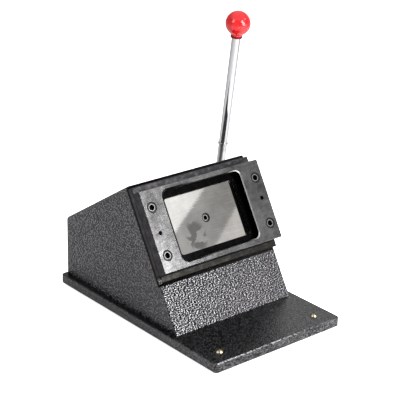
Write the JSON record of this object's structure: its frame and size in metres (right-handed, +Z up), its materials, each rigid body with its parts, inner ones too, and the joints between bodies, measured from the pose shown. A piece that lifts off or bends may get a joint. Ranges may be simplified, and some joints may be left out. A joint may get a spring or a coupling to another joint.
{
  "type": "pvc id card cutter",
  "caption": "Bench-top card punch: a side lever turns a cam that drives a card-shaped punch through a stepped die on the sloping front of a steel housing.",
  "frame": {"origin": "on the ground under the middle of the base plate, in the lower face of the rubber mat", "axes": "+X to the user's right, along the cam shaft towards the lever; +Y to the back; +Z up; the sloping front faces -Y"},
  "size_m": [0.1696, 0.2373, 0.2706],
  "materials": {
    "base_paint": "black fine hammertone enamel",
    "housing_paint": "dark grey hammertone enamel",
    "cover_paint": "dark grey hammertone enamel",
    "rubber": "matte",
    "brass": "satin, slightly worn",
    "zinc_steel": "bright zinc",
    "angle_steel": "hot rolled",
    "black_steel": "black oxide",
    "guide_steel": "ground and blackened",
    "spacer_steel": "ground",
    "die_steel": "ground and hardened, mottled",
    "punch_steel": "surface ground",
    "pin_steel": "ground",
    "guide_iron": "machined cast iron",
    "bronze": "sintered bronze",
    "shaft_steel": "turned",
    "cam_steel": "milled",
    "collar_steel": "turned",
    "hub_steel": "black enamel",
    "stem_steel": "satin",
    "chrome": "polished",
    "red_plastic": "polished",
    "ram_steel": "ground",
    "clip_steel": "spring steel",
    "roller_steel": "hardened"
  },
  "bodies": {
    "frame": {"base_plate": "base_paint", "rubber_mat": "rubber", "mat_nuts": "brass", "foot_screws": "brass", "housing_shell": "housing_paint", "rear_cover": "cover_paint", "cover_screws": "zinc_steel", "mounting_angles": "angle_steel", "base_screws": "black_steel", "guide_plate": "guide_steel", "slot_spacers": "spacer_steel", "die_plate": "die_steel", "plate_screws": "black_steel", "dowel_pins": "pin_steel", "guide_block": "guide_iron", "bearing_blocks": "guide_iron", "bearing_bushes": "bronze"},
    "lever": {"drive_shaft": "shaft_steel", "cam_plate": "cam_steel", "cam_pin": "pin_steel", "shaft_collars": "collar_steel", "grub_screws": "black_steel", "shaft_washer": "zinc_steel", "lever_hub": "hub_steel", "end_washer": "zinc_steel", "end_screw": "black_steel", "lever_stem": "stem_steel", "lever_nut": "zinc_steel", "lever_rod": "chrome", "ball_knob": "red_plastic"},
    "ram": {"punch": "punch_steel", "punch_screw": "black_steel", "ram": "ram_steel", "roller_pin": "pin_steel", "pin_clips": "clip_steel"},
    "roller": {"cam_roller": "roller_steel"}
  },
  "joints": [
    {"name": "lever_turn", "type": "hinge", "parent": "frame", "child": "lever", "pos_m": [0, 0.06922, 0.04759], "axis": [1, 0, 0], "range_deg": [0, 65]},
    {"name": "ram_slide", "type": "slide", "parent": "frame", "child": "ram", "axis": [0, -0.8572, 0.515], "range_m": [0, 0.00636]},
    {"name": "roller_spin", "type": "hinge", "parent": "ram", "child": "roller", "pos_m": [0, 0.04779, 0.06047], "axis": [1, 0, 0], "continuous": true}
  ],
  "couplings": [
    {"joint": "ram_slide", "follows": "lever_turn", "m_per_rad": 0.0056}
  ]
}
